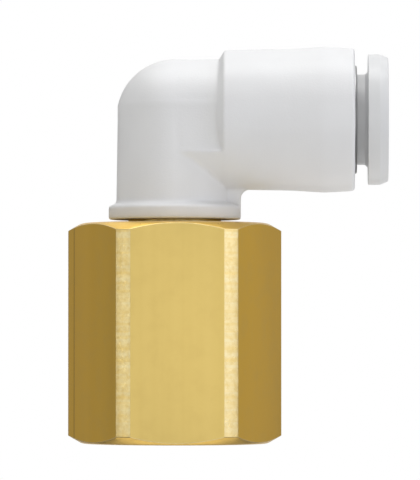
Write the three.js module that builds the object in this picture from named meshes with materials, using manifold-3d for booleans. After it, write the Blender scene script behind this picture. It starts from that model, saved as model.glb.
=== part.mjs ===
// Push to connect fitting: a plastic elbow for 6 mm tube that swivels on a brass hexagon with a female
// G 1/4 thread. Millimetres, +Z up. The origin is the centre of the thread port's mouth, the swivel axis
// is Z, and the tube socket opens towards +X. Every round piece is turned about one of these two axes.
import * as THREE from 'three';
import { mergeVertices } from 'three/addons/utils/BufferGeometryUtils.js';
import Module from 'manifold-3d';

const wasm = await Module();
wasm.setup();

// Driving dimensions
const roundSides = 48;
const mergeDistance = 1e-5;
const tubeAxisHeight = 28.64;
const tubeRadius = 3;
const hexagonTurn = THREE.MathUtils.degToRad(3.3);

const hexagon = {
  acrossFlats: 17,
  height: 19.5,
  cornerRadius: 9.43,
  faceRadius: 8.2,
  chamferAngle: THREE.MathUtils.degToRad(30),
};
const threadPort = {
  minorRadius: 5.72,
  mouthRadius: 6.75,
  depth: 13,
  drillTipAngle: THREE.MathUtils.degToRad(31),
  passageRadius: 2.2,
};
const spigot = { radius: 4.1, height: 6.9, edge: 0.3 };
const clipGroove = { bottom: 20.55, top: 21.45, radius: 3.55 };
const ringGroove = { bottom: 23.2, top: 24.7, radius: 3.05 };
const swivelClipRing = { innerRadius: 3.62, outerRadius: 4.58, bottom: 20.6, top: 21.4, gap: 2.2 };
const studRing = { middleRadius: 3.62, halfWidth: 0.5, halfHeight: 0.66, height: 23.95, sides: 12 };

const collar = { radius: 5.85, bottom: 19.8, top: 20.95, chamferTop: 21.25 };
const riser = { footRadius: 5.17, kneeRadius: 5.06, boreRadius: 4.2, boreTop: 26.5 };
const knee = { inset: 0.03, steps: 8 };
const riserClipGroove = { radius: 4.65, bottom: 20.5, top: 21.5 };
const neck = { radius: 5.36, halfWidth: 5.05, start: 0.2, end: 3.95, ledgeDrop: 2.77, curveSteps: 16 };
const neckKey = { drop: 3.6, halfWidth: 4.3, lap: 0.05 };
const saddle = { start: 0.3, startRadius: 5.87, end: 4.6, endRadius: 6.13 };
const barrel = {
  foot: 3.7,
  footRadius: 4.93,
  shoulder: 4.42,
  shoulderRadius: 6.17,
  waist: 10.3,
  waistRadius: 6.27,
  crest: 13.2,
  crestRadius: 6.45,
  rim: 15.4,
  rimRadius: 6.34,
  end: 15.93,
  edge: 0.35,
};
const rib = { thickness: 2.2, edge: 5.84, foot: 20.4, fillet: 0.8, keyDrop: 3.5, curveSteps: 5 };
const waterway = { riserRadius: 2.6, riserTop: 30.8, tubeRadius: 2.45 };
const tubeStop = 4.5;
const tubeGuide = { radius: tubeRadius + 0.08, end: 8.2 };
const sealChamber = { radius: 4.55, end: 10.6 };
const cartridgeBore = { radius: 4.85, leadIn: 0.12 };

const lipSeal = {
  back: 8.3,
  front: 10.3,
  outerRadius: 4.5,
  mouthRadius: 3.4,
  lipRadius: 2.9,
  heelRadius: 3.05,
};
const lipSealGroove = { radius: 3.7, width: 0.5 };
const backupRing = { back: 10.65, front: 11.05, innerRadius: 3.15, outerRadius: 4.8 };
const sleeve = { back: 11.1, front: 16.12, outerRadius: 4.8, innerRadius: 4.45 };
const sleeveBead = { back: 13.45, front: 13.75, radius: 4.2 };
const sleeveLip = { back: 15.5, radius: 4.1, chamfer: 0.22 };
const colletRing = { back: 11.75, front: 13.3, outerRadius: 4.35, boreRadius: 3.2, seatRadius: 4.12 };
const colletSeat = { back: 12.15, front: 12.95 };
const chuckRing = { outerRadius: 4.05, innerRadius: 3.8, back: 12.98, front: 13.18 };
const chuckTeeth = {
  count: 10,
  slot: 0.45,
  rootRadius: 3.65,
  tipRadius: 2.92,
  tipBack: 12.33,
  thickness: 0.2,
};
const button = {
  face: 18.88,
  flangeBack: 17.1,
  flangeRadius: 5.77,
  faceRadius: 5.47,
  faceChamfer: 0.75,
  mouthRadius: 3.7,
  leadIn: 0.68,
  boreRadius: tubeRadius + 0.12,
  stemRadius: 4,
  rootChamfer: 0.27,
  nose: 13.7,
  noseRadius: 3.9,
};
const buttonBarb = { back: 14.9, crest: 15.15, front: 15.45, radius: 4.3 };
const buttonSlots = { count: 4, width: 0.8, end: 15.95 };
const cutOver = 1;

// Solids and booleans

function toSolid(geometry) {
  geometry.deleteAttribute('normal');
  geometry.deleteAttribute('uv');
  const merged = mergeVertices(geometry, mergeDistance);
  const corners = merged.index.array;
  const triangles = [];
  for (let i = 0; i < corners.length; i += 3) {
    const [a, b, c] = [corners[i], corners[i + 1], corners[i + 2]];
    if (a !== b && b !== c && c !== a) triangles.push(a, b, c);
  }
  return new wasm.Manifold(new wasm.Mesh({
    numProp: 3,
    vertProperties: new Float32Array(merged.attributes.position.array),
    triVerts: new Uint32Array(triangles),
  }));
}

function toMesh(name, body, material) {
  const surface = body.getMesh();
  const geometry = new THREE.BufferGeometry();
  geometry.setAttribute('position', new THREE.BufferAttribute(surface.vertProperties, 3));
  geometry.setIndex(new THREE.BufferAttribute(surface.triVerts, 1));
  geometry.computeVertexNormals();
  const mesh = new THREE.Mesh(geometry, material);
  mesh.name = name;
  return mesh;
}

// A closed outline of [radius, distance along the axis] is turned about the lathe's own axis.
function turned(outline, sides = roundSides) {
  const points = outline.map(([radius, along]) => new THREE.Vector2(radius, along));
  if (THREE.ShapeUtils.area(points) < 0) points.reverse();
  points.push(points[0].clone());
  return new THREE.LatheGeometry(points, sides);
}

function turnedUp(outline, sides) {
  return toSolid(turned(outline, sides).rotateX(Math.PI / 2));
}

function turnedAlongTube(outline, sides) {
  return toSolid(turned(outline, sides).rotateZ(-Math.PI / 2));
}

function block(sizes, centre) {
  return toSolid(new THREE.BoxGeometry(...sizes).translate(...centre));
}

// Slots through a piece turned about the tube axis, evenly spaced round it and cut from the axis out.
function radialSlots(count, width, reach, back, front) {
  const length = front - back;
  let slots = null;
  for (let i = 0; i < count; i += 1) {
    const slot = new THREE.BoxGeometry(length, width, reach);
    slot.translate((back + front) / 2, 0, reach / 2);
    slot.rotateX((2 * Math.PI * (i + 0.5)) / count);
    slots = slots ? slots.add(toSolid(slot)) : toSolid(slot);
  }
  return slots;
}

// Brass hexagon

function hexagonPrism() {
  const outline = new THREE.Shape();
  const cornerReach = hexagon.acrossFlats / Math.sqrt(3);
  for (let i = 0; i < 6; i += 1) {
    const angle = (i * Math.PI) / 3;
    const corner = [cornerReach * Math.cos(angle), cornerReach * Math.sin(angle)];
    if (i === 0) outline.moveTo(...corner);
    else outline.lineTo(...corner);
  }
  outline.closePath();
  const depth = hexagon.height + spigot.height + 2 * cutOver;
  const prism = new THREE.ExtrudeGeometry(outline, { depth, bevelEnabled: false });
  return toSolid(prism.translate(0, 0, -cutOver));
}

function hexBody() {
  const chamferDrop = (hexagon.cornerRadius - hexagon.faceRadius) * Math.tan(hexagon.chamferAngle);
  const drillReach = threadPort.minorRadius - threadPort.passageRadius;
  const drillRise = drillReach * Math.tan(threadPort.drillTipAngle);
  const spigotTop = hexagon.height + spigot.height;
  const blank = turnedUp([
    [threadPort.mouthRadius, 0],
    [hexagon.faceRadius, 0],
    [hexagon.cornerRadius, chamferDrop],
    [hexagon.cornerRadius, hexagon.height - chamferDrop],
    [hexagon.faceRadius, hexagon.height],
    [spigot.radius, hexagon.height],
    [spigot.radius, clipGroove.bottom],
    [clipGroove.radius, clipGroove.bottom],
    [clipGroove.radius, clipGroove.top],
    [spigot.radius, clipGroove.top],
    [spigot.radius, ringGroove.bottom],
    [ringGroove.radius, ringGroove.bottom],
    [ringGroove.radius, ringGroove.top],
    [spigot.radius, ringGroove.top],
    [spigot.radius, spigotTop - spigot.edge],
    [spigot.radius - spigot.edge, spigotTop],
    [threadPort.passageRadius, spigotTop],
    [threadPort.passageRadius, threadPort.depth + drillRise],
    [threadPort.minorRadius, threadPort.depth],
    [threadPort.minorRadius, threadPort.mouthRadius - threadPort.minorRadius],
  ]);
  return blank.intersect(hexagonPrism());
}

function swivelClip() {
  const { innerRadius, outerRadius, bottom, top, gap } = swivelClipRing;
  const ring = turnedUp([
    [innerRadius, bottom],
    [outerRadius, bottom],
    [outerRadius, top],
    [innerRadius, top],
  ]);
  const height = top - bottom + 2 * cutOver;
  return ring.subtract(block([gap, 2 * outerRadius, height], [0, outerRadius, (bottom + top) / 2]));
}

function studORing() {
  const outline = [];
  for (let i = 0; i < studRing.sides; i += 1) {
    const angle = (2 * Math.PI * i) / studRing.sides;
    const radius = studRing.middleRadius + studRing.halfWidth * Math.cos(angle);
    outline.push([radius, studRing.height + studRing.halfHeight * Math.sin(angle)]);
  }
  return turnedUp(outline);
}

// Plastic elbow

// The riser is round, and its top is a ball a little wider than the riser, so the riser's wall cuts it.
function elbowRiser() {
  const outline = [
    [0, collar.bottom],
    [collar.radius, collar.bottom],
    [collar.radius, collar.top],
    [riser.footRadius, collar.chamferTop],
    [riser.kneeRadius, tubeAxisHeight],
  ];
  const kneeRadius = neck.radius - knee.inset;
  const firstAngle = Math.acos((neck.halfWidth - knee.inset) / kneeRadius);
  for (let i = 0; i <= knee.steps; i += 1) {
    const angle = firstAngle + ((Math.PI / 2 - firstAngle) * i) / knee.steps;
    const radius = i < knee.steps ? kneeRadius * Math.cos(angle) : 0;
    outline.push([radius, tubeAxisHeight + kneeRadius * Math.sin(angle)]);
  }
  return turnedUp(outline);
}

// The neck is half round above the axis and straight sided below it, with a narrower key under the ledge
// that runs into the saddle.
function elbowNeck() {
  const { radius, halfWidth } = neck;
  const flatTop = Math.acos(halfWidth / radius);
  const flatFoot = -neck.ledgeDrop - neckKey.lap;
  const outline = new THREE.Shape();
  outline.moveTo(halfWidth, flatFoot);
  outline.absarc(0, 0, radius, flatTop, Math.PI - flatTop, false);
  outline.lineTo(-halfWidth, flatFoot);
  outline.lineTo(-neckKey.halfWidth, -neckKey.drop);
  outline.lineTo(neckKey.halfWidth, -neckKey.drop);
  outline.closePath();
  const bar = new THREE.ExtrudeGeometry(outline, {
    depth: neck.end + neckKey.lap - neck.start,
    bevelEnabled: false,
    curveSegments: neck.curveSteps,
  });
  bar.rotateX(Math.PI / 2).rotateZ(Math.PI / 2);
  return toSolid(bar.translate(neck.start, 0, tubeAxisHeight));
}

// Under the ledge the neck is as full as the barrel, and narrows a little towards the riser.
function elbowSaddle() {
  const cone = turnedAlongTube([
    [0, saddle.start],
    [saddle.startRadius, saddle.start],
    [saddle.endRadius, saddle.end],
    [0, saddle.end],
  ]);
  const depth = 2 * saddle.endRadius;
  const below = block([depth, 2 * depth, depth], [saddle.end, 0, -neck.ledgeDrop - depth / 2]);
  return cone.intersect(below).translate([0, 0, tubeAxisHeight]);
}

function elbowBarrel() {
  const edgeDepth = barrel.edge * (1 - Math.SQRT1_2);
  const outline = turnedAlongTube([
    [0, barrel.foot],
    [barrel.footRadius, barrel.foot],
    [barrel.shoulderRadius, barrel.shoulder],
    [barrel.waistRadius, barrel.waist],
    [barrel.crestRadius, barrel.crest],
    [barrel.rimRadius, barrel.rim],
    [barrel.rimRadius - edgeDepth / 2, barrel.end - barrel.edge],
    [barrel.rimRadius - edgeDepth, barrel.end - edgeDepth],
    [barrel.rimRadius - barrel.edge, barrel.end],
    [0, barrel.end],
  ]);
  return outline.translate([0, 0, tubeAxisHeight]);
}

// A flat rib fills the inner corner, with a rounded run-out under the barrel.
function elbowRib() {
  const underside = tubeAxisHeight - barrel.shoulderRadius;
  const top = tubeAxisHeight - rib.keyDrop;
  const outline = new THREE.Shape();
  outline.moveTo(0, rib.foot);
  outline.lineTo(rib.edge, rib.foot);
  outline.lineTo(rib.edge, underside - rib.fillet);
  outline.absarc(rib.edge + rib.fillet, underside - rib.fillet, rib.fillet, Math.PI, Math.PI / 2, true);
  outline.lineTo(rib.edge + rib.fillet, top);
  outline.lineTo(0, top);
  outline.closePath();
  const plate = new THREE.ExtrudeGeometry(outline, {
    depth: rib.thickness,
    bevelEnabled: false,
    curveSegments: rib.curveSteps,
  });
  return toSolid(plate.translate(0, 0, -rib.thickness / 2).rotateX(Math.PI / 2));
}

function riserBore() {
  return turnedUp([
    [0, collar.bottom - cutOver],
    [riser.boreRadius, collar.bottom - cutOver],
    [riser.boreRadius, riserClipGroove.bottom],
    [riserClipGroove.radius, riserClipGroove.bottom],
    [riserClipGroove.radius, riserClipGroove.top],
    [riser.boreRadius, riserClipGroove.top],
    [riser.boreRadius, riser.boreTop],
    [waterway.riserRadius, riser.boreTop],
    [waterway.riserRadius, waterway.riserTop],
    [0, waterway.riserTop],
  ]);
}

function tubeBore() {
  const bore = turnedAlongTube([
    [0, 0],
    [waterway.tubeRadius, 0],
    [waterway.tubeRadius, tubeStop],
    [tubeGuide.radius, tubeStop],
    [tubeGuide.radius, tubeGuide.end],
    [sealChamber.radius, tubeGuide.end],
    [sealChamber.radius, sealChamber.end],
    [cartridgeBore.radius, sealChamber.end],
    [cartridgeBore.radius, barrel.end - cartridgeBore.leadIn],
    [cartridgeBore.radius + cartridgeBore.leadIn, barrel.end],
    [cartridgeBore.radius + cartridgeBore.leadIn, barrel.end + cutOver],
    [0, barrel.end + cutOver],
  ]);
  return bore.translate([0, 0, tubeAxisHeight]);
}

function elbowBody() {
  const whole = elbowRiser().add(elbowNeck()).add(elbowSaddle()).add(elbowBarrel()).add(elbowRib());
  return whole.subtract(riserBore().add(tubeBore()));
}

// Tube cartridge, from the tube stop outwards. These solids are turned about the tube axis at height 0.

function tubeSeal() {
  const middle = (lipSeal.back + lipSeal.front) / 2;
  const { radius, width } = lipSealGroove;
  return turnedAlongTube([
    [lipSeal.outerRadius, lipSeal.back],
    [lipSeal.outerRadius, lipSeal.front],
    [lipSeal.mouthRadius, lipSeal.front],
    [lipSeal.lipRadius, middle],
    [lipSeal.heelRadius, lipSeal.back],
    [radius - width / 2, lipSeal.back],
    [radius, middle - width / 2],
    [radius + width / 2, lipSeal.back],
  ]);
}

function sealBackupRing() {
  const { back, front, innerRadius, outerRadius } = backupRing;
  return turnedAlongTube([
    [innerRadius, back],
    [outerRadius, back],
    [outerRadius, front],
    [innerRadius, front],
  ]);
}

function guideSleeve() {
  const wall = sleeve.outerRadius - sleeve.innerRadius;
  return turnedAlongTube([
    [sleeve.innerRadius, sleeve.back],
    [sleeve.outerRadius, sleeve.back],
    [sleeve.outerRadius, sleeve.front - wall / 2],
    [sleeve.outerRadius - wall / 2, sleeve.front],
    [sleeveLip.radius + sleeveLip.chamfer, sleeve.front],
    [sleeveLip.radius, sleeve.front - sleeveLip.chamfer],
    [sleeveLip.radius, sleeveLip.back],
    [sleeve.innerRadius, sleeveLip.back],
    [sleeve.innerRadius, sleeveBead.front],
    [sleeveBead.radius, sleeveBead.front],
    [sleeveBead.radius, sleeveBead.back],
    [sleeve.innerRadius, sleeveBead.back],
  ]);
}

function colletPiece() {
  return turnedAlongTube([
    [colletRing.boreRadius, colletRing.back],
    [colletRing.outerRadius, colletRing.back],
    [colletRing.outerRadius, colletRing.front],
    [colletRing.seatRadius, colletRing.front],
    [colletRing.seatRadius, colletSeat.front],
    [colletRing.boreRadius, colletSeat.back],
  ]);
}

// The chuck is a spring ring whose teeth lean inwards and back, so that they bite a tube pulled outwards.
function chuckPiece() {
  const plate = turnedAlongTube([
    [chuckTeeth.tipRadius, chuckTeeth.tipBack],
    [chuckRing.innerRadius, chuckRing.back],
    [chuckRing.outerRadius, chuckRing.back],
    [chuckRing.outerRadius, chuckRing.front],
    [chuckRing.innerRadius, chuckRing.front],
    [chuckTeeth.tipRadius, chuckTeeth.tipBack + chuckTeeth.thickness],
  ]);
  const back = chuckTeeth.tipBack - cutOver;
  const front = chuckRing.front + cutOver;
  const slots = radialSlots(chuckTeeth.count, chuckTeeth.slot, chuckTeeth.rootRadius, back, front);
  return plate.subtract(slots);
}

function releaseButton() {
  const tool = turnedAlongTube([
    [button.boreRadius, button.nose],
    [button.noseRadius - button.rootChamfer, button.nose],
    [button.noseRadius, button.nose + button.rootChamfer],
    [button.noseRadius, buttonBarb.back],
    [buttonBarb.radius, buttonBarb.crest],
    [buttonBarb.radius, buttonBarb.front],
    [button.stemRadius, buttonBarb.front],
    [button.stemRadius, button.flangeBack - button.rootChamfer],
    [button.stemRadius + button.rootChamfer, button.flangeBack],
    [button.flangeRadius, button.flangeBack],
    [button.flangeRadius, button.face - button.faceChamfer],
    [button.faceRadius, button.face],
    [button.mouthRadius, button.face],
    [button.boreRadius, button.face - button.leadIn],
  ]);
  const back = button.nose - cutOver;
  const { count, width, end } = buttonSlots;
  return tool.subtract(radialSlots(count, width, button.flangeRadius, back, end));
}

// Materials

function material(color, roughness, metalness = 0) {
  return new THREE.MeshStandardMaterial({ color, roughness, metalness });
}

const brass = material(0xd8bf78, 0.34, 1);
const whitePlastic = material(0xe2e1e0, 0.42);
const buttonPlastic = material(0xe4e5e5, 0.38);
const stainless = material(0xb9bbbd, 0.3, 1);
const springSteel = material(0xc4c5c6, 0.26, 1);
const paleAcetal = material(0xd9d8d2, 0.4);
const blackRubber = material(0x1b1b1c, 0.6);

// Assembly: the stud group stays on the thread, the elbow group turns on it, and the cartridge group
// carries the pieces round the tube axis.

const stud = new THREE.Group();
stud.rotation.z = hexagonTurn;
stud.add(toMesh('hex_body', hexBody(), brass));
stud.add(toMesh('stud_o_ring', studORing(), blackRubber));
stud.add(toMesh('swivel_clip', swivelClip(), springSteel));

const cartridge = new THREE.Group();
cartridge.position.z = tubeAxisHeight;
cartridge.add(toMesh('tube_seal', tubeSeal(), blackRubber));
cartridge.add(toMesh('seal_backup_ring', sealBackupRing(), paleAcetal));
cartridge.add(toMesh('guide_sleeve', guideSleeve(), stainless));
cartridge.add(toMesh('collet', colletPiece(), paleAcetal));
cartridge.add(toMesh('chuck', chuckPiece(), springSteel));
cartridge.add(toMesh('release_button', releaseButton(), buttonPlastic));

const elbow = new THREE.Group();
elbow.add(toMesh('elbow_body', elbowBody(), whitePlastic));
elbow.add(cartridge);

const fitting = new THREE.Group();
fitting.add(stud);
fitting.add(elbow);

export default fitting;
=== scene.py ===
import math

import bmesh
import bpy
from mathutils import Matrix, Vector


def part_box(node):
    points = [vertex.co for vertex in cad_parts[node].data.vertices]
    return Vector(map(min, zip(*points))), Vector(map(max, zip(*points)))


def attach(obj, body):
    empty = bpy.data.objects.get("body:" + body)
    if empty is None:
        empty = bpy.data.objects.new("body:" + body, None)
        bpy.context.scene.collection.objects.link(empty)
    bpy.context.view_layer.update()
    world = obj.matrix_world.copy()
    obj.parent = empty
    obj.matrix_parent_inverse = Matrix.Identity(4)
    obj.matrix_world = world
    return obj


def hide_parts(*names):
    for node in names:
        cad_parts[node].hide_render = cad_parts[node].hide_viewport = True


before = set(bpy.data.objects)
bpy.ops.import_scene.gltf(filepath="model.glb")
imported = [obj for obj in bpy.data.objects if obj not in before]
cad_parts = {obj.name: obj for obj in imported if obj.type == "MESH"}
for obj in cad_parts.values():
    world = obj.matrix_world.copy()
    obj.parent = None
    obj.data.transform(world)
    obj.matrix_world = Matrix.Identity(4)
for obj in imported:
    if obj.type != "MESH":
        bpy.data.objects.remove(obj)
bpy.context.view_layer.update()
print("frame loaded:", ", ".join(sorted(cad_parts)))

mm = 0.001  # pieces are made in millimetres and brought to metres when they are settled on their body


def boxOf(node):
    low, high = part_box(node)
    return [value / mm for value in low], [value / mm for value in high]


# the two axes and the main places come from the CAD pieces
hexHigh = boxOf("hex_body")[1]
elbowLow, elbowHigh = boxOf("elbow_body")
buttonLow, buttonHigh = boxOf("release_button")
sleeveLow, sleeveHigh = boxOf("guide_sleeve")
sealLow, sealHigh = boxOf("tube_seal")
backupLow, backupHigh = boxOf("seal_backup_ring")
colletLow, colletHigh = boxOf("collet")
chuckLow, chuckHigh = boxOf("chuck")
clipLow, clipHigh = boxOf("swivel_clip")
ringLow, ringHigh = boxOf("stud_o_ring")
tubeHeight = (buttonLow[2] + buttonHigh[2]) / 2


# Camera, floor and lights

view = {
    "cameraPlace": (12.7, -407, 9.2),
    "lookAt": (3.12, 0, 18.0),
    "lens": 345,
    "roomLight": 0.14,  # grey of the room, as the pieces see it
}
panels = {
    # name: azimuth from the camera's side, elevation, distance, width, height, brightness
    "topPanel": (0, 90, 520, 700, 300, 3.55),
    "topBack": (180, 50, 520, 620, 320, 1.0),
    "topFront": (0, 55, 600, 620, 260, 0.62),
    "frontPanel": (0, 0, 640, 320, 760, 0.82),
    "rightFront": (30, 0, 640, 320, 560, 1.02),
    "leftFront": (-31, 0, 640, 250, 460, 0.62),
    "rightPanel": (62, 0, 520, 240, 420, 1.26),
    "rightHigh": (75, 30, 520, 300, 300, 1.15),
    "leftPanel": (-55, 0, 520, 200, 340, 1.08),
    "rightBack": (118, 0, 520, 320, 620, 0.42),
    "leftBack": (-118, 0, 520, 320, 620, 0.31),
    "backPanel": (180, 0, 520, 300, 620, 0.7),
    "underPanel": (180, -64, 520, 420, 260, 1.05),
}
panelTint = {  # the other panels are plain white
    "rightPanel": (0.97, 1.0, 1.14),
    "rightHigh": (0.97, 1.0, 1.1),
    "leftPanel": (1.0, 0.98, 0.9),
}


def setCamera():
    data = bpy.data.cameras.new("camera")
    data.lens = view["lens"]
    data.sensor_width = 36
    data.clip_start = 0.01
    data.clip_end = 20
    camera = bpy.data.objects.new("camera", data)
    camera.location = Vector(view["cameraPlace"]) * mm
    toPart = Vector(view["lookAt"]) - Vector(view["cameraPlace"])
    camera.rotation_euler = toPart.to_track_quat("-Z", "Y").to_euler()
    bpy.context.scene.collection.objects.link(camera)
    bpy.context.scene.camera = camera


def addPanel(name, azimuth, elevation, distance, width, height, brightness):
    data = bpy.data.lights.new(name, "AREA")
    data.shape = "RECTANGLE"
    data.size = width * mm
    data.size_y = height * mm
    data.energy = brightness * math.pi * data.size * data.size_y
    data.color = panelTint.get(name, (1, 1, 1))
    panel = bpy.data.objects.new(name, data)
    turn = math.radians(azimuth)
    rise = math.radians(elevation)
    level = math.cos(rise)
    away = Vector((math.sin(turn) * level, -math.cos(turn) * level, math.sin(rise)))
    panel.location = (Vector(view["lookAt"]) + away * distance) * mm
    panel.rotation_euler = (-away).to_track_quat("-Z", "Y").to_euler()
    panel.visible_camera = False
    bpy.context.scene.collection.objects.link(panel)


# Node helpers

def addNode(tree, kind, inputs=None, **settings):
    node = tree.nodes.new(kind)
    for key, value in settings.items():
        setattr(node, key, value)
    for key, value in (inputs or {}).items():
        if isinstance(value, bpy.types.NodeSocket):
            tree.links.new(value, node.inputs[key])
        else:
            node.inputs[key].default_value = value
    return node


def newGroup(name, inputs, outputs):
    tree = bpy.data.node_groups.new(name, "ShaderNodeTree")
    for label, value in inputs.items():
        socket = tree.interface.new_socket(label, in_out="INPUT", socket_type="NodeSocketFloat")
        socket.default_value = value
    for label in outputs:
        tree.interface.new_socket(label, in_out="OUTPUT", socket_type="NodeSocketFloat")
    return tree, tree.nodes.new("NodeGroupInput").outputs, tree.nodes.new("NodeGroupOutput").inputs


def calculate(tree, operation, first, second=0.0):
    return addNode(tree, "ShaderNodeMath", {0: first, 1: second}, operation=operation).outputs[0]


def spread(tree, value, fromLow, fromHigh, toLow, toHigh):
    inputs = {"Value": value, "From Min": fromLow, "From Max": fromHigh}
    inputs.update({"To Min": toLow, "To Max": toHigh})
    return addNode(tree, "ShaderNodeMapRange", inputs).outputs[0]


def mix(tree, first, share, second):
    # share of the first and the rest of the second
    part = calculate(tree, "MULTIPLY", first, share)
    return calculate(tree, "ADD", part, calculate(tree, "MULTIPLY", second, 1 - share))


def placeInMm(tree):
    # where a point is on the piece, in millimetres
    place = addNode(tree, "ShaderNodeTexCoord").outputs["Object"]
    inputs = {0: place, "Scale": 1 / mm}
    return addNode(tree, "ShaderNodeVectorMath", inputs, operation="SCALE").outputs[0]


def noiseAt(tree, place, size, detail=3.0, roughness=0.55):
    frequency = calculate(tree, "DIVIDE", 1.0, size)
    inputs = {"Vector": place, "Scale": frequency, "Detail": detail, "Roughness": roughness}
    return addNode(tree, "ShaderNodeTexNoise", inputs).outputs[0]


# Effects that several finishes share

def buildMouldGrain():
    # fine spark-eroded grain of a mould, with soft patches where the plastic froze unevenly
    tree, inputs, outputs = newGroup("mouldGrain", {"Grain": 0.16, "Patch": 5.0}, ("Height", "Tone"))
    place = placeInMm(tree)
    fine = noiseAt(tree, place, inputs["Grain"], 3.0, 0.6)
    patch = noiseAt(tree, place, inputs["Patch"], 2.0, 0.45)
    tree.links.new(fine, outputs["Height"])
    tree.links.new(spread(tree, patch, 0.3, 0.7, 0.0, 1.0), outputs["Tone"])
    return tree


def buildToolMarks():
    # irregular parallel lines left by a tool or a drawing die, across the value given as Position
    start = {"Position": 0.0, "Spacing": 0.09, "Waver": 0.04, "WaverSize": 2.5}
    tree, inputs, outputs = newGroup("toolMarks", start, ("Height", "Tone"))
    waver = noiseAt(tree, placeInMm(tree), inputs["WaverSize"], 1.0)
    shift = calculate(tree, "MULTIPLY", calculate(tree, "SUBTRACT", waver, 0.5), inputs["Waver"])
    moved = calculate(tree, "ADD", inputs["Position"], shift)
    across = calculate(tree, "DIVIDE", moved, inputs["Spacing"])
    fineLines = {"W": across, "Scale": 1.0, "Detail": 4.0, "Roughness": 0.7}
    fine = addNode(tree, "ShaderNodeTexNoise", fineLines, noise_dimensions="1D")
    broadLines = {"W": across, "Scale": 0.11, "Detail": 3.0}
    broad = addNode(tree, "ShaderNodeTexNoise", broadLines, noise_dimensions="1D")
    tree.links.new(fine.outputs[0], outputs["Height"])
    tree.links.new(spread(tree, broad.outputs[0], 0.3, 0.7, 0.0, 1.0), outputs["Tone"])
    return tree


def buildEdgeWear():
    # rubbed edges, found where a small rounding would turn the surface, and broken up by a little noise
    tree, inputs, outputs = newGroup("edgeWear", {"Reach": 0.12, "Break": 0.4}, ("Mask",))
    radius = calculate(tree, "MULTIPLY", inputs["Reach"], mm)
    rounded = addNode(tree, "ShaderNodeBevel", {"Radius": radius}, samples=6).outputs[0]
    plain = addNode(tree, "ShaderNodeNewGeometry").outputs["Normal"]
    same = addNode(tree, "ShaderNodeVectorMath", {0: rounded, 1: plain}, operation="DOT_PRODUCT")
    rise = spread(tree, same.outputs["Value"], 0.995, 0.93, 0.0, 1.0)
    gap = calculate(tree, "MULTIPLY", noiseAt(tree, placeInMm(tree), 0.5), inputs["Break"])
    mask = calculate(tree, "SUBTRACT", rise, gap)
    limited = addNode(tree, "ShaderNodeClamp", {"Value": mask}).outputs[0]
    tree.links.new(limited, outputs["Mask"])
    return tree


def buildHandlingFilm():
    # faint film and stains from oil, coolant and fingers
    tree, inputs, outputs = newGroup("handlingFilm", {"Size": 2.0, "Cover": 0.5}, ("Mask",))
    place = placeInMm(tree)
    bent = noiseAt(tree, place, 4.0, 2.0)
    swirl = addNode(tree, "ShaderNodeVectorMath", {0: place, 1: bent}, operation="ADD").outputs[0]
    blot = noiseAt(tree, swirl, inputs["Size"], 5.0, 0.62)
    low = calculate(tree, "SUBTRACT", 0.9, inputs["Cover"])
    high = calculate(tree, "ADD", low, 0.22)
    tree.links.new(spread(tree, blot, low, high, 0.0, 1.0), outputs["Mask"])
    return tree


mouldGrain = buildMouldGrain()
toolMarks = buildToolMarks()
edgeWear = buildEdgeWear()
handlingFilm = buildHandlingFilm()


def useGroup(tree, group, **inputs):
    return addNode(tree, "ShaderNodeGroup", inputs, node_tree=group).outputs


def blendColours(tree, mask, first, second):
    inputs = {"Factor": mask, 6: first, 7: second}
    return addNode(tree, "ShaderNodeMix", inputs, data_type="RGBA").outputs[2]


def startMaterial(name, constants):
    material = bpy.data.materials.new(name)
    material.use_nodes = True
    tree = material.node_tree
    shader = tree.nodes["Principled BSDF"]
    for key, value in constants.items():
        shader.inputs[key].default_value = value
    return material, tree, shader


def addBump(tree, shader, height, depth):
    inputs = {"Height": height, "Distance": depth * mm, "Strength": 1.0}
    tree.links.new(addNode(tree, "ShaderNodeBump", inputs).outputs[0], shader.inputs["Normal"])


# Finishes

pbtLook = {  # the elbow
    "light": (0.79, 0.792, 0.795, 1),
    "deep": (0.767, 0.768, 0.77, 1),
    "grain": 0.15,
    "grainDepth": 0.012,
    "roughness": (0.36, 0.48),
}
acetalLook = {  # the release button
    "light": (0.70, 0.705, 0.707, 1),
    "deep": (0.68, 0.684, 0.686, 1),
    "grain": 0.28,
    "grainDepth": 0.003,
    "roughness": (0.28, 0.38),
}
naturalLook = {  # the collet and the seal's backup ring
    "light": (0.74, 0.73, 0.68, 1),
    "deep": (0.69, 0.675, 0.62, 1),
    "grain": 0.28,
    "grainDepth": 0.003,
    "roughness": (0.32, 0.44),
}
brassLook = {
    "flat": (0.83, 0.62, 0.205, 1),
    "flatDeep": (0.80, 0.59, 0.185, 1),
    "flatGlancingShade": (0.82, 0.50, 0.07, 1),  # painted shade: the flats are given a deeper, darker colour where they are seen at a glancing angle, standing in for the dimmer reflections of the side flats
    "turned": (0.885, 0.765, 0.44, 1),
    "turnedDeep": (0.86, 0.68, 0.30, 1),
    # painted shade: deeper, darker colour for turned brass seen at a glancing angle
    "turnedGlancingShade": (0.80, 0.52, 0.11, 1),
    "rubbed": (0.95, 0.83, 0.52, 1),
    "stain": (0.70, 0.49, 0.15, 1),
    "dieLine": (0.50, 0.32, 0.06, 1),
    "flatRoughness": (0.29, 0.34),
    "turnedRoughness": (0.27, 0.38),
    "flatFilm": 0.16,  # how much of the stain shows where the film lies
    "turnedFilm": 0.45,
    "dieLineAngle": 193.3,
    "dieLineWidth": 0.9,
    "dieLineShade": 0.75,
    "dieLineDepth": 3.0,  # in turns of the flat's own bump
    "flatBump": 0.0037,
    "turnedBump": 0.006,
    "lineShare": 0.35,  # of the bump; the rest is specks
    "ringShare": 0.25,  # of the bump; the rest is mottle
}
sleeveLook = {
    "light": (0.50, 0.50, 0.505, 1),
    "deep": (0.38, 0.38, 0.385, 1),
    "roughness": (0.4, 0.54),
    "bump": 0.002,
}
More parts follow.
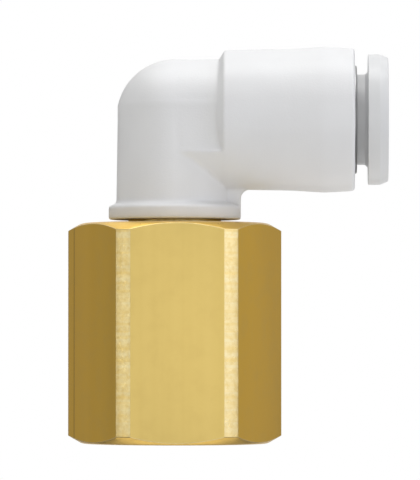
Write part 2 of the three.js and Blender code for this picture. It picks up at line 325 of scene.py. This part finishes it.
springLook = {  # the chuck and the swivel clip
    "light": (0.60, 0.60, 0.61, 1),
    "deep": (0.45, 0.45, 0.46, 1),
    "roughness": (0.2, 0.34),
    "bump": 0.002,
}
rubberLook = {
    "clean": (0.010, 0.010, 0.011, 1),
    "dusty": (0.028, 0.028, 0.027, 1),
    "grain": 0.09,
    "grainDepth": 0.006,
    "dryRoughness": 0.62,
    "greasyRoughness": 0.3,
}


def mouldedPlastic(name, look):
    material, tree, shader = startMaterial(name, {"IOR": 1.5, "Specular IOR Level": 0.5})
    surface = useGroup(tree, mouldGrain, Grain=look["grain"], Patch=4.5)
    wear = useGroup(tree, edgeWear, Reach=0.15, Break=0.5)["Mask"]
    film = useGroup(tree, handlingFilm, Size=3.0, Cover=0.42)["Mask"]
    base = blendColours(tree, surface["Tone"], look["light"], look["deep"])
    base = blendColours(tree, calculate(tree, "MULTIPLY", wear, 0.5), base, look["light"])
    tree.links.new(base, shader.inputs["Base Color"])
    rough = spread(tree, surface["Height"], 0.0, 1.0, *look["roughness"])
    rough = calculate(tree, "SUBTRACT", rough, calculate(tree, "MULTIPLY", film, 0.03))
    tree.links.new(rough, shader.inputs["Roughness"])
    addBump(tree, shader, surface["Height"], look["grainDepth"])
    return material


def positionOn(tree, axis):
    return addNode(tree, "ShaderNodeSeparateXYZ", {0: placeInMm(tree)}).outputs[axis]


# painted shade: rises where the surface is seen at a glancing angle, so the brass colour there is painted
# darker and deeper
def glancingShadeMask(tree):
    facing = addNode(tree, "ShaderNodeLayerWeight", {"Blend": 0.5}).outputs["Facing"]
    return spread(tree, facing, 0.08, 0.5, 0.0, 1.0)


def drawnBrass():
    # the bar's own flats: fine upright drawing lines, a satin film and one deeper die line
    look = brassLook
    material, tree, shader = startMaterial("drawnBrass", {"Metallic": 1.0})
    place = placeInMm(tree)
    parts = addNode(tree, "ShaderNodeSeparateXYZ", {0: place}).outputs
    angle = calculate(tree, "ARCTAN2", parts["Y"], parts["X"])
    around = calculate(tree, "MULTIPLY", angle, hexPiece["acrossFlats"] / 2)
    lines = useGroup(tree, toolMarks, Position=around, Spacing=0.22, Waver=0.05, WaverSize=6.0)
    film = useGroup(tree, handlingFilm, Size=1.6, Cover=0.44)["Mask"]
    wear = useGroup(tree, edgeWear, Reach=0.14, Break=0.3)["Mask"]
    speck = noiseAt(tree, place, 0.11, 2.0, 0.7)
    base = blendColours(tree, lines["Tone"], look["flat"], look["flatDeep"])
    # painted shade: darker, deeper colour on flats seen at a glancing angle
    base = blendColours(tree, glancingShadeMask(tree), base, look["flatGlancingShade"])
    base = blendColours(tree, calculate(tree, "MULTIPLY", film, look["flatFilm"]), base, look["stain"])
    dieAngle = math.radians(look["dieLineAngle"] - 360)
    fromLine = calculate(tree, "ABSOLUTE", calculate(tree, "SUBTRACT", angle, dieAngle))
    line = spread(tree, fromLine, 0.0, math.radians(look["dieLineWidth"]), 1.0, 0.0)
    base = blendColours(tree, calculate(tree, "MULTIPLY", line, look["dieLineShade"]), base, look["dieLine"])
    tree.links.new(blendColours(tree, wear, base, look["rubbed"]), shader.inputs["Base Color"])
    rough = spread(tree, lines["Tone"], 0.0, 1.0, *look["flatRoughness"])
    rough = calculate(tree, "ADD", rough, calculate(tree, "MULTIPLY", film, 0.02))
    tree.links.new(rough, shader.inputs["Roughness"])
    fine = mix(tree, lines["Height"], look["lineShare"], speck)
    height = calculate(tree, "SUBTRACT", fine, calculate(tree, "MULTIPLY", line, look["dieLineDepth"]))
    addBump(tree, shader, height, look["flatBump"])
    return material


def turnedBrass():
    # cut on the lathe: fine rings round the swivel axis, mottled by chatter and old coolant
    look = brassLook
    material, tree, shader = startMaterial("turnedBrass", {"Metallic": 1.0})
    along = positionOn(tree, "Z")
    rings = useGroup(tree, toolMarks, Position=along, Spacing=0.06, Waver=0.1, WaverSize=1.2)
    film = useGroup(tree, handlingFilm, Size=0.45, Cover=0.46)["Mask"]
    wear = useGroup(tree, edgeWear, Reach=0.14, Break=0.2)["Mask"]
    mottle = noiseAt(tree, placeInMm(tree), 0.22, 3.0, 0.6)
    base = blendColours(tree, rings["Tone"], look["turned"], look["turnedDeep"])
    base = blendColours(tree, calculate(tree, "MULTIPLY", film, look["turnedFilm"]), base, look["stain"])
    # painted shade: darker, deeper colour on turned faces seen at a glancing angle
    base = blendColours(tree, glancingShadeMask(tree), base, look["turnedGlancingShade"])
    tree.links.new(blendColours(tree, wear, base, look["rubbed"]), shader.inputs["Base Color"])
    rough = spread(tree, mottle, 0.3, 0.7, *look["turnedRoughness"])
    tree.links.new(rough, shader.inputs["Roughness"])
    addBump(tree, shader, mix(tree, rings["Height"], look["ringShare"], mottle), look["turnedBump"])
    return material


def turnedSteel(name, look):
    material, tree, shader = startMaterial(name, {"Metallic": 1.0})
    along = positionOn(tree, "X")
    rings = useGroup(tree, toolMarks, Position=along, Spacing=0.05, Waver=0.03, WaverSize=2.0)
    film = useGroup(tree, handlingFilm, Size=0.8, Cover=0.4)["Mask"]
    base = blendColours(tree, rings["Tone"], look["light"], look["deep"])
    tree.links.new(base, shader.inputs["Base Color"])
    tree.links.new(spread(tree, film, 0.0, 1.0, *look["roughness"]), shader.inputs["Roughness"])
    addBump(tree, shader, rings["Height"], look["bump"])
    return material


def blackRubber():
    look = rubberLook
    material, tree, shader = startMaterial("blackRubber", {"IOR": 1.5})
    surface = useGroup(tree, mouldGrain, Grain=look["grain"], Patch=1.2)
    film = useGroup(tree, handlingFilm, Size=0.7, Cover=0.5)["Mask"]
    base = blendColours(tree, surface["Tone"], look["clean"], look["dusty"])
    tree.links.new(base, shader.inputs["Base Color"])
    rough = spread(tree, film, 0.0, 1.0, look["dryRoughness"], look["greasyRoughness"])
    tree.links.new(rough, shader.inputs["Roughness"])
    addBump(tree, shader, surface["Height"], look["grainDepth"])
    return material


# Mesh helpers

def roundCorners(outline, closed=True, steps=4):
    # each (radius, along, edge) corner with an edge becomes an arc of that radius
    points = []
    count = len(outline)
    for index, (radius, along, edge) in enumerate(outline):
        if edge <= 0 or (not closed and index in (0, count - 1)):
            points.append((radius, along))
            continue
        here = Vector((radius, along))
        before = Vector(outline[index - 1][:2]) - here
        after = Vector(outline[(index + 1) % count][:2]) - here
        half = before.angle(after) / 2
        reach = min(edge / math.tan(half), 0.48 * before.length, 0.48 * after.length)
        inward = (before.normalized() + after.normalized()).normalized()
        middle = here + inward * (reach / math.cos(half))
        first = here + before.normalized() * reach - middle
        last = here + after.normalized() * reach - middle
        for step in range(steps + 1):
            spoke = first.lerp(last, step / steps).normalized() * first.length
            points.append(tuple(middle + spoke))
    return points


def newPiece(name, bm, material):
    bmesh.ops.recalc_face_normals(bm, faces=bm.faces)
    mesh = bpy.data.meshes.new(name)
    bm.to_mesh(mesh)
    bm.free()
    mesh.materials.append(material)
    piece = bpy.data.objects.new(name, mesh)
    bpy.context.scene.collection.objects.link(piece)
    return piece


def turnPiece(name, outline, material, axis="z", closed=True, steps=192, shape=None):
    # turns (radius, along) points about the swivel axis or, with axis="x", about the tube's axis
    bm = bmesh.new()
    rings = []
    for radius, along in outline:
        ring = []
        for step in range(steps if radius > 0 else 1):
            angle = 2 * math.pi * step / steps
            size = shape(radius, along, angle) if shape else radius
            across = (size * math.cos(angle), size * math.sin(angle))
            place = (along, across[0], across[1] + tubeHeight) if axis == "x" else (*across, along)
            ring.append(bm.verts.new(place))
        rings.append(ring)
    for lower, upper in zip(rings, rings[1:] + (rings[:1] if closed else [])):
        for step in range(steps):
            after = (step + 1) % steps
            corners = (lower[step % len(lower)], lower[after % len(lower)],
                       upper[after % len(upper)], upper[step % len(upper)])
            corners = list(dict.fromkeys(corners))
            if len(corners) > 2:
                bm.faces.new(corners)
    return newPiece(name, bm, material)


def extrudePiece(name, outline, low, high, material, axis="z"):
    # a flat outline pushed from low to high along an axis; the outline's own two directions follow it
    def place(first, second, along):
        if axis == "x":
            return along, first, second
        if axis == "y":
            return first, along, second
        return first, second, along

    bm = bmesh.new()
    ends = [[bm.verts.new(place(*point, along)) for point in outline] for along in (low, high)]
    for end in ends:
        bm.faces.new(end)
    for index in range(len(outline)):
        after = (index + 1) % len(outline)
        bm.faces.new((ends[0][index], ends[0][after], ends[1][after], ends[1][index]))
    return newPiece(name, bm, material)


def applyModifiers(piece):
    bpy.context.view_layer.objects.active = piece
    for modifier in list(piece.modifiers):
        bpy.ops.object.modifier_apply(modifier=modifier.name)


def combine(piece, tool, operation):
    modifier = piece.modifiers.new("combine", "BOOLEAN")
    modifier.operation = operation
    modifier.object = tool
    modifier.solver = "EXACT"
    modifier.material_mode = "TRANSFER"
    applyModifiers(piece)
    bpy.data.objects.remove(tool)
    return piece


def softenEdges(piece, width, angle=20, segments=2):
    modifier = piece.modifiers.new("edges", "BEVEL")
    modifier.width = width
    modifier.segments = segments
    modifier.limit_method = "ANGLE"
    modifier.angle_limit = math.radians(angle)
    modifier.use_clamp_overlap = True
    applyModifiers(piece)


slotLift = 0.01  # keeps the blades' feet off the tube's axis


def slotCutter(name, count, width, reach, low, high, material):
    # thin blades set evenly round the tube's axis
    bm = bmesh.new()
    for index in range(count):
        angle = 2 * math.pi * (index + 0.5) / count
        blade = bmesh.ops.create_cube(bm, size=1)["verts"]
        bmesh.ops.scale(bm, verts=blade, vec=(high - low, width, reach))
        bmesh.ops.translate(bm, verts=blade, vec=((low + high) / 2, 0, reach / 2 + slotLift))
        bmesh.ops.rotate(bm, verts=blade, cent=(0, 0, 0), matrix=Matrix.Rotation(angle, 3, "X"))
        bmesh.ops.translate(bm, verts=blade, vec=(0, 0, tubeHeight))
    return newPiece(name, bm, material)


def settle(piece, node, body, sharpAngle=32):
    # brings a finished piece to metres, shades it and sets it in place of its CAD node
    piece.data.transform(Matrix.Scale(mm, 4))
    piece.data.shade_smooth()
    piece.data.set_sharp_from_angle(angle=math.radians(sharpAngle))
    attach(piece, body)
    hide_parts(node)
    print("made", piece.name, "with", len(piece.data.polygons), "faces")


# Brass hexagon with its thread and spigot

hexPiece = {
    "acrossFlats": 17.0,
    "turn": 3.3,
    "height": 19.5,
    "cornerRadius": 9.43,
    "faceRadius": 8.2,
    "chamferAngle": 30,
    "bottomRounding": 0.8,
    "topRounding": 1.6,
    "cornerRounding": 0.08,
    "spigotRadius": 4.1,
    "spigotRounding": 0.05,
    "spigotEdge": 0.3,
    "clipGroove": (20.55, 21.45, 3.55),
    "ringGroove": (23.2, 24.7, 3.05),
    "edge": 0.05,
}
thread = {
    "minorRadius": 5.72,
    "majorRadius": 6.58,
    "pitch": 1.337,
    "mouthRadius": 6.75,
    "leadOut": 1.5,  # how far the 45 degree mouth is cut past the face
    "depth": 13.0,
    "fullDepth": 10.4,
    "runOut": 1.6,
    "passageRadius": 2.2,
    "drillAngle": 31,
    "sharpness": 0.96,  # 1 would give sharp crests and roots
    "rowsPerTurn": 24,
}


def threadRadius(radius, along, angle):
    # a rounded 55 degree profile that climbs one pitch in each turn and fades out at the blind end
    if radius != thread["minorRadius"] or along >= thread["depth"]:
        return radius
    climb = along / thread["pitch"] - angle / (2 * math.pi)
    sharpness = thread["sharpness"]
    wave = 0.5 + math.asin(sharpness * math.cos(2 * math.pi * climb)) / (2 * math.asin(sharpness))
    fade = min(max((thread["fullDepth"] + thread["runOut"] - along) / thread["runOut"], 0), 1)
    cut = radius + (thread["majorRadius"] - radius) * wave * fade
    return max(cut, thread["mouthRadius"] - along)


def makeHexBody(drawn, turned):
    size = hexPiece
    drop = (size["cornerRadius"] - size["faceRadius"]) * math.tan(math.radians(size["chamferAngle"]))
    height, corner, face = size["height"], size["cornerRadius"], size["faceRadius"]
    spigot, edge, soft = size["spigotRadius"], size["spigotEdge"], size["spigotRounding"]
    top = hexHigh[2]
    outline = [
        (0, 0, 0),
        (face, 0, size["bottomRounding"]),
        (corner, drop, size["cornerRounding"]),
        (corner, height - drop, size["cornerRounding"]),
        (face, height, size["topRounding"]),
        (spigot, height, 0.1),
    ]
    for low, high, radius in (size["clipGroove"], size["ringGroove"]):
        outline += [(spigot, low, soft), (radius, low, soft), (radius, high, soft), (spigot, high, soft)]
    outline += [(spigot, top - edge, soft), (spigot - edge, top, soft), (0, top, 0)]
    piece = turnPiece("hexagon", roundCorners(outline, closed=False), turned, closed=False, steps=360)

    reach = size["acrossFlats"] / math.sqrt(3)
    angles = [math.radians(60 * index + size["turn"]) for index in range(6)]
    hexagon = [(reach * math.cos(angle), reach * math.sin(angle)) for angle in angles]
    combine(piece, extrudePiece("bar", hexagon, -2, top + 2, drawn), "INTERSECT")
    softenEdges(piece, size["edge"])

    minor, passage, mouth = thread["minorRadius"], thread["passageRadius"], thread["mouthRadius"]
    depth, lead = thread["depth"], thread["leadOut"]
    rise = (minor - passage) * math.tan(math.radians(thread["drillAngle"]))
    rows = math.ceil(depth / thread["pitch"] * thread["rowsPerTurn"])
    bore = [(0, -lead), (mouth + lead, -lead), (mouth, 0)]
    bore += [(minor, depth * row / rows) for row in range(1, rows + 1)]
    bore += [(passage, depth + rise), (passage, top + 1), (0, top + 1)]
    cutter = turnPiece("bore", bore, turned, closed=False, steps=120, shape=threadRadius)
    combine(piece, cutter, "DIFFERENCE")
    settle(piece, "hex_body", "stud", sharpAngle=24)


# Swivel clip and O-ring, hidden between the spigot and the elbow

clipPiece = {"clearance": 0.07, "edge": 0.12, "gap": 2.2}
ringPiece = {"clearance": 0.07, "steps": 28}


def makeSwivelClip(steel):
    low, high = clipLow[2], clipHigh[2]
    edge, half = clipPiece["edge"], clipPiece["gap"] / 2
    inner, outer = hexPiece["clipGroove"][2] + clipPiece["clearance"], clipHigh[0]
    outline = [(inner, low, edge), (outer, low, edge), (outer, high, edge), (inner, high, edge)]
    ring = turnPiece("swivelClip", roundCorners(outline), steel)
    opening = [(-half, 0), (half, 0), (half, 2 * outer), (-half, 2 * outer)]
    gap = extrudePiece("clipGap", opening, low - 1, high + 1, steel)
    gap.data.transform(Matrix.Rotation(math.radians(hexPiece["turn"]), 4, "Z"))
    combine(ring, gap, "DIFFERENCE")
    settle(ring, "swivel_clip", "stud")


def makeStudORing(rubber):
    middle = (ringLow[2] + ringHigh[2]) / 2
    halfHeight = (ringHigh[2] - ringLow[2]) / 2
    inner, outer = hexPiece["ringGroove"][2] + ringPiece["clearance"], ringHigh[0]
    outline = []
    for step in range(ringPiece["steps"]):
        angle = 2 * math.pi * step / ringPiece["steps"]
        across = (inner + outer) / 2 + (outer - inner) / 2 * math.cos(angle)
        outline.append((across, middle + halfHeight * math.sin(angle)))
    ring = turnPiece("studORing", outline, rubber)
    settle(ring, "stud_o_ring", "stud", sharpAngle=60)


# Moulded elbow

elbowPiece = {
    "collarRadius": 5.85,
    "collarTop": 20.95,
    "chamferTop": 21.25,
    "footRadius": 5.17,
    "kneeRadius": 5.06,
    "crease": 0.085,  # the riser's socket side is drafted a little more than its back
    "roundRadius": 5.16,  # the half-round top of knee and neck, a little above the tube's axis
    "roundRise": 0.2,
    "neckHalfWidth": 5.05,
    "neckKey": (4.3, 3.7),  # half width and drop of the part that is buried in the saddle
    "neckEnd": 4.0,
    "ledgeDrop": 2.92,
    "saddle": ((0.3, 5.87), (4.6, 6.13)),
    "shoulderFoot": (3.7, 4.93),
    "shoulder": (4.42, 6.17),
    "waist": (10.3, 6.27),
    "crest": (13.2, 6.45),
    "rim": (15.4, 6.34),
    "rimEdge": 0.35,
    "ribThickness": 2.2,
    "ribFoot": 20.4,
    "ribEdge": 5.84,
    "ribFillet": 0.8,
    "filletSteps": 10,
    "cell": 0.125,  # size of the skin's faces
    "smoothing": 4,
}
elbowBore = {
    "spigotBore": 4.2,
    "spigotTop": 26.5,
    "mouthChamfer": 0.3,
    "clipGroove": (20.5, 21.5, 4.65),
    "waterway": 2.6,
    "waterwayTop": 30.8,
    "tubeWaterway": 2.45,
    "tubeStop": 4.5,
    "tubeGuide": (8.2, 3.08),
    "sealChamber": (10.6, 4.55),
    "cartridge": 4.85,
    "rimChamfer": (0.12, 0.16),  # depth and width
}


def makeRiser(plastic):
    size = elbowPiece
    ball, centre = size["roundRadius"], tubeHeight + size["roundRise"]
    first = math.acos(size["neckHalfWidth"] / ball)
    outline = [
        (0, elbowLow[2], 0),
        (size["collarRadius"], elbowLow[2], 0.1),
        (size["collarRadius"], size["collarTop"], 0.12),
        (size["footRadius"], size["chamferTop"], 0.1),
        (size["kneeRadius"], tubeHeight, 0),
        (size["kneeRadius"], centre + ball * math.sin(first), 0.5),
    ]
    arc = [first + (math.pi / 2 - first) * step / 24 for step in range(2, 24)]
    outline += [(ball * math.cos(angle), centre + ball * math.sin(angle), 0) for angle in arc]
    outline.append((0, centre + ball, 0))

    def crease(radius, along, angle):
        onSocketSide = math.cos(angle) > 0 and size["chamferTop"] <= along <= tubeHeight
        return radius * (1 - size["crease"] * math.cos(angle)) if onSocketSide else radius

    return turnPiece("riser", roundCorners(outline, closed=False), plastic, closed=False, shape=crease)


def makeNeck(plastic):
    size = elbowPiece
    radius, rise, half = size["roundRadius"], size["roundRise"], size["neckHalfWidth"]
    first = math.acos(half / radius)
    foot, shoulder = -size["ledgeDrop"] - 0.05, rise + radius * math.sin(first)
    keyHalf, keyDrop = size["neckKey"]
    section = [(-keyHalf, -keyDrop, 0), (keyHalf, -keyDrop, 0), (half, foot, 0), (half, shoulder, 0.5)]
    arc = [first + (math.pi - 2 * first) * step / 48 for step in range(3, 46)]
    section += [(radius * math.cos(angle), rise + radius * math.sin(angle), 0) for angle in arc]
    section += [(-half, shoulder, 0.5), (-half, foot, 0)]
    outline = [(across, up + tubeHeight) for across, up in roundCorners(section)]
    return extrudePiece("neck", outline, 0, size["neckEnd"], plastic, axis="x")


def makeSaddle(plastic):
    (start, startRadius), (end, endRadius) = elbowPiece["saddle"]
    outline = [(0, start, 0), (startRadius, start, 0.3), (endRadius, end, 0), (0, end, 0)]
    piece = turnPiece("saddle", roundCorners(outline, closed=False), plastic, axis="x", closed=False)
    bm = bmesh.new()
    bm.from_mesh(piece.data)
    ledge = (0, 0, tubeHeight - elbowPiece["ledgeDrop"])
    whole = bm.verts[:] + bm.edges[:] + bm.faces[:]
    cut = bmesh.ops.bisect_plane(bm, geom=whole, plane_co=ledge, plane_no=(0, 0, 1), clear_outer=True)
    edges = [item for item in cut["geom_cut"] if isinstance(item, bmesh.types.BMEdge)]
    bmesh.ops.holes_fill(bm, edges=edges)
    bm.to_mesh(piece.data)
    bm.free()
    return piece


def makeBarrel(plastic):
    size = elbowPiece
    (foot, footRadius), (shoulder, shoulderRadius) = size["shoulderFoot"], size["shoulder"]
    (waist, waistRadius), (crest, crestRadius) = size["waist"], size["crest"]
    (rim, rimRadius), end = size["rim"], elbowHigh[0]
    outline = [
        (0, foot, 0),
        (footRadius, foot, 0),
        (shoulderRadius, shoulder, 0.15),
        (waistRadius, waist, 3),
        (crestRadius, crest, 6),
        (rimRadius, rim, 3),
        (rimRadius - 0.03, end, size["rimEdge"]),
        (0, end, 0),
    ]
    outline = roundCorners(outline, closed=False, steps=8)
    return turnPiece("barrel", outline, plastic, axis="x", closed=False)


def makeRib(plastic):
    size = elbowPiece
    underside = tubeHeight - size["shoulder"][1]
    edge, fillet, foot = size["ribEdge"], size["ribFillet"], size["ribFoot"]
    steps = size["filletSteps"]
    outline = [(0, foot), (edge, foot)]
    for step in range(steps + 1):
        angle = math.pi - math.pi / 2 * step / steps
        across = edge + fillet + fillet * math.cos(angle)
        outline.append((across, underside - fillet + fillet * math.sin(angle)))
    outline += [(edge + fillet, underside + 1), (0, underside + 1)]
    half = size["ribThickness"] / 2
    return extrudePiece("rib", outline, -half, half, plastic, axis="y")


def makeSpigotBore(plastic):
    bore = elbowBore
    grooveLow, grooveHigh, grooveRadius = bore["clipGroove"]
    low, mouth = elbowLow[2], bore["mouthChamfer"]
    upright = [
        (0, low - 1, 0),
        (bore["spigotBore"] + mouth, low - 1, 0),
        (bore["spigotBore"] + mouth, low, 0.05),
        (bore["spigotBore"], low + mouth, 0.1),
        (bore["spigotBore"], grooveLow, 0.04),
        (grooveRadius, grooveLow, 0.04),
        (grooveRadius, grooveHigh, 0.04),
        (bore["spigotBore"], grooveHigh, 0.04),
        (bore["spigotBore"], bore["spigotTop"], 0.1),
        (bore["waterway"], bore["spigotTop"], 0.1),
        (bore["waterway"], bore["waterwayTop"], 0.5),
        (0, bore["waterwayTop"], 0),
    ]
    outline = roundCorners(upright, closed=False)
    return turnPiece("spigotBore", outline, plastic, closed=False, steps=128)


def makeTubeBore(plastic):
    bore, end = elbowBore, elbowHigh[0]
    chamferDepth, chamferWidth = bore["rimChamfer"]
    level = [
        (0, 0, 0),
        (bore["tubeWaterway"], 0, 0.1),
        (bore["tubeWaterway"], bore["tubeStop"], 0.1),
        (bore["tubeGuide"][1], bore["tubeStop"], 0.1),
        (bore["tubeGuide"][1], bore["tubeGuide"][0], 0.1),
        (bore["sealChamber"][1], bore["tubeGuide"][0], 0.1),
        (bore["sealChamber"][1], bore["sealChamber"][0], 0.05),
        (bore["cartridge"], bore["sealChamber"][0], 0.05),
        (bore["cartridge"], end - chamferDepth, 0.1),
        (bore["cartridge"] + chamferWidth, end - chamferDepth + chamferWidth, 0),
        (bore["cartridge"] + chamferWidth, end + 1, 0),
        (0, end + 1, 0),
    ]
    outline = roundCorners(level, closed=False)
    return turnPiece("tubeBore", outline, plastic, axis="x", closed=False, steps=128)


def makeElbowBody(plastic):
    bm = bmesh.new()
    for makeShell in (makeRiser, makeNeck, makeSaddle, makeBarrel, makeRib):
        shell = makeShell(plastic)
        bm.from_mesh(shell.data)
        bpy.data.objects.remove(shell)
    piece = newPiece("elbow", bm, plastic)

    # one skin over all the shells, smoothed so that the inner corners run into each other as moulded
    skin = piece.modifiers.new("skin", "REMESH")
    skin.mode = "VOXEL"
    skin.voxel_size = elbowPiece["cell"]
    skin.use_smooth_shade = True
    smooth = piece.modifiers.new("smooth", "SMOOTH")
    smooth.factor = 0.5
    smooth.iterations = elbowPiece["smoothing"]
    applyModifiers(piece)

    cutter = makeTubeBore(plastic)
    combine(cutter, makeSpigotBore(plastic), "UNION")
    combine(piece, cutter, "DIFFERENCE")
    settle(piece, "elbow_body", "elbow", sharpAngle=40)


# Tube cartridge

sealPiece = {
    "mouthRadius": 3.4,
    "lipRadius": 2.9,
    "heelRadius": 3.05,
    "groove": (3.7, 0.25),  # middle and half width
    "edge": 0.15,
}
backupPiece = {"bore": 3.15, "boreEdge": 0.08, "edge": 0.05}


def makeTubeSeal(rubber):
    size = sealPiece
    back, front, outer = sealLow[0], sealHigh[0], sealHigh[1]
    middle = (back + front) / 2
    groove, half = size["groove"]
    outline = [
        (outer, back, size["edge"]),
        (outer, front, size["edge"]),
        (size["mouthRadius"], front, 0.1),
        (size["lipRadius"], middle, 0.1),
        (size["heelRadius"], back, 0.06),
        (groove - half, back, 0.06),
        (groove, middle - half, 0.1),
        (groove + half, back, 0.06),
    ]
    seal = turnPiece("tubeSeal", roundCorners(outline), rubber, axis="x")
    settle(seal, "tube_seal", "elbow")


def makeBackupRing(plastic):
    back, front, outer = backupLow[0], backupHigh[0], backupHigh[1]
    bore, boreEdge, edge = backupPiece["bore"], backupPiece["boreEdge"], backupPiece["edge"]
    outline = [(bore, back, boreEdge), (outer, back, edge), (outer, front, edge), (bore, front, boreEdge)]
    ring = turnPiece("sealBackupRing", roundCorners(outline), plastic, axis="x")
    settle(ring, "seal_backup_ring", "elbow")


sleevePiece = {"wall": 0.35, "bead": (13.45, 13.75, 4.2), "lip": (15.5, 4.1), "lipChamfer": 0.22}


def makeGuideSleeve(steel):
    back, front, outer = sleeveLow[0], sleeveHigh[0], sleeveHigh[1]
    inner = outer - sleevePiece["wall"]
    beadBack, beadFront, beadRadius = sleevePiece["bead"]
    lipBack, lipRadius = sleevePiece["lip"]
    outline = [
        (inner, back, 0.05),
        (outer, back, 0.1),
        (outer, front, 0.17),
        (lipRadius + sleevePiece["lipChamfer"], front, 0.05),
        (lipRadius, front - sleevePiece["lipChamfer"], 0.05),
        (lipRadius, lipBack, 0.05),
        (inner, lipBack, 0.1),
        (inner, beadFront, 0.1),
        (beadRadius, beadFront, 0.1),
        (beadRadius, beadBack, 0.1),
        (inner, beadBack, 0.1),
    ]
    sleeve = turnPiece("guideSleeve", roundCorners(outline), steel, axis="x")
    settle(sleeve, "guide_sleeve", "elbow")


colletPiece = {"bore": 3.2, "seatRadius": 4.12, "seatFront": 12.95, "seatBack": 12.15, "edge": 0.12}
chuckPiece = {
    "plate": 0.2,
    "bendRadius": 3.8,
    "tipRadius": 2.92,
    "teeth": 10,
    "slotWidth": 0.45,
    "slotReach": 3.65,
}


def makeCollet(plastic):
    size = colletPiece
    back, front, outer = colletLow[0], colletHigh[0], colletHigh[1]
    outline = [
        (size["bore"], back, size["edge"]),
        (outer, back, size["edge"]),
        (outer, front, 0.06),
        (size["seatRadius"], front, 0.04),
        (size["seatRadius"], size["seatFront"], 0.04),
        (size["bore"], size["seatBack"], 0.08),
    ]
    ring = turnPiece("colletRing", roundCorners(outline), plastic, axis="x")
    settle(ring, "collet", "collet")


def makeChuck(steel):
    size = chuckPiece
    back, front, outer = chuckLow[0], chuckHigh[0], chuckHigh[1]
    plate, bend, tip = size["plate"], size["bendRadius"], size["tipRadius"]
    outline = [
        (tip, back, 0.03),
        (bend, front - plate, 0.15),
        (outer, front - plate, 0.05),
        (outer, front, 0.05),
        (bend, front, 0.15),
        (tip, back + plate, 0.03),
    ]
    piece = turnPiece("toothedChuck", roundCorners(outline), steel, axis="x", steps=160)
    count, width, reach = size["teeth"], size["slotWidth"], size["slotReach"]
    slots = slotCutter("chuckSlots", count, width, reach, back - 1, front + 1, steel)
    combine(piece, slots, "DIFFERENCE")
    settle(piece, "chuck", "collet")


buttonPiece = {
    "flangeBack": 17.1,
    "faceRadius": 5.47,
    "faceChamfer": 0.75,
    "mouthRadius": 3.7,
    "leadIn": 0.68,
    "boreRadius": 3.12,
    "stemRadius": 4.0,
    "rootChamfer": 0.27,
    "noseRadius": 3.9,
    "barb": (14.9, 15.15, 15.45, 4.3),
    "slots": 4,
    "slotWidth": 0.8,
    "slotEnd": 15.95,
}


def makeReleaseButton(plastic):
    size = buttonPiece
    nose, face, flange = buttonLow[0], buttonHigh[0], buttonHigh[1]
    back, root = size["flangeBack"], size["rootChamfer"]
    barbBack, barbCrest, barbFront, barbRadius = size["barb"]
    outline = [
        (size["boreRadius"], nose, 0.1),
        (size["noseRadius"] - root, nose, 0.1),
        (size["noseRadius"], nose + root, 0.1),
        (size["noseRadius"], barbBack, 0.1),
        (barbRadius, barbCrest, 0.08),
        (barbRadius, barbFront, 0.05),
        (size["stemRadius"], barbFront, 0.05),
        (size["stemRadius"], back - root, 0.1),
        (size["stemRadius"] + root, back, 0.05),
        (flange, back, 0.06),
        (flange, face - size["faceChamfer"], 0.3),
        (size["faceRadius"], face, 0.12),
        (size["mouthRadius"], face, 0.15),
        (size["boreRadius"], face - size["leadIn"], 0.3),
    ]
    piece = turnPiece("releaseButton", roundCorners(outline, steps=5), plastic, axis="x", steps=240)
    count, width, end = size["slots"], size["slotWidth"], size["slotEnd"]
    slots = slotCutter("buttonSlots", count, width, flange, nose - 1, end, plastic)
    combine(piece, slots, "DIFFERENCE")
    settle(piece, "release_button", "button")


# Floor and room

floorSize = {"half": 1500, "thickness": 4, "drop": 0.02, "pale": 0.75}


def makeFloor():
    # a glowing pale table: plain white to the eye, an ordinary pale surface to the part above it
    material = bpy.data.materials.new("floorWhite")
    material.use_nodes = True
    tree = material.node_tree
    tree.nodes.clear()
    glow = addNode(tree, "ShaderNodeEmission", {"Color": (1, 1, 1, 1), "Strength": 1.0}).outputs[0]
    tone = floorSize["pale"]
    pale = addNode(tree, "ShaderNodeBsdfDiffuse", {"Color": (tone, tone, tone, 1)}).outputs[0]
    seen = addNode(tree, "ShaderNodeLightPath").outputs["Is Camera Ray"]
    mixed = addNode(tree, "ShaderNodeMixShader", {0: seen, 1: pale, 2: glow}).outputs[0]
    addNode(tree, "ShaderNodeOutputMaterial", {"Surface": mixed})
    half, low, high = floorSize["half"], -floorSize["thickness"], -floorSize["drop"]
    square = [(-half, -half), (half, -half), (half, half), (-half, half)]
    floor = extrudePiece("floor", square, low, high, material)
    floor.data.transform(Matrix.Scale(mm, 4))
    floor.visible_glossy = False
    floor.visible_shadow = False


def makeRoom():
    world = bpy.data.worlds.new("room")
    world.use_nodes = True
    tree = world.node_tree
    tree.nodes.clear()
    room = view["roomLight"]
    grey = addNode(tree, "ShaderNodeBackground", {"Color": (room, room, room, 1)}).outputs[0]
    white = addNode(tree, "ShaderNodeBackground", {"Color": (1, 1, 1, 1)}).outputs[0]
    seen = addNode(tree, "ShaderNodeLightPath").outputs["Is Camera Ray"]
    mixed = addNode(tree, "ShaderNodeMixShader", {0: seen, 1: grey, 2: white}).outputs[0]
    addNode(tree, "ShaderNodeOutputWorld", {"Surface": mixed})
    bpy.context.scene.world = world
    bpy.context.scene.view_settings.view_transform = "Standard"


setCamera()
for name, values in panels.items():
    addPanel(name, *values)
makeFloor()
makeRoom()
print("camera, floor and lights are set")

whitePbt = mouldedPlastic("whitePbt", pbtLook)
whiteAcetal = mouldedPlastic("whiteAcetal", acetalLook)
naturalAcetal = mouldedPlastic("naturalAcetal", naturalLook)
flatBrass = drawnBrass()
latheBrass = turnedBrass()
sleeveSteel = turnedSteel("sleeveSteel", sleeveLook)
springSteel = turnedSteel("springSteel", springLook)
nbr = blackRubber()
print("finishes are mixed")

makeHexBody(flatBrass, latheBrass)
makeSwivelClip(springSteel)
makeStudORing(nbr)
makeElbowBody(whitePbt)
makeTubeSeal(nbr)
makeBackupRing(naturalAcetal)
makeGuideSleeve(sleeveSteel)
makeCollet(naturalAcetal)
makeChuck(springSteel)
makeReleaseButton(whiteAcetal)
print("all ten pieces are in place")
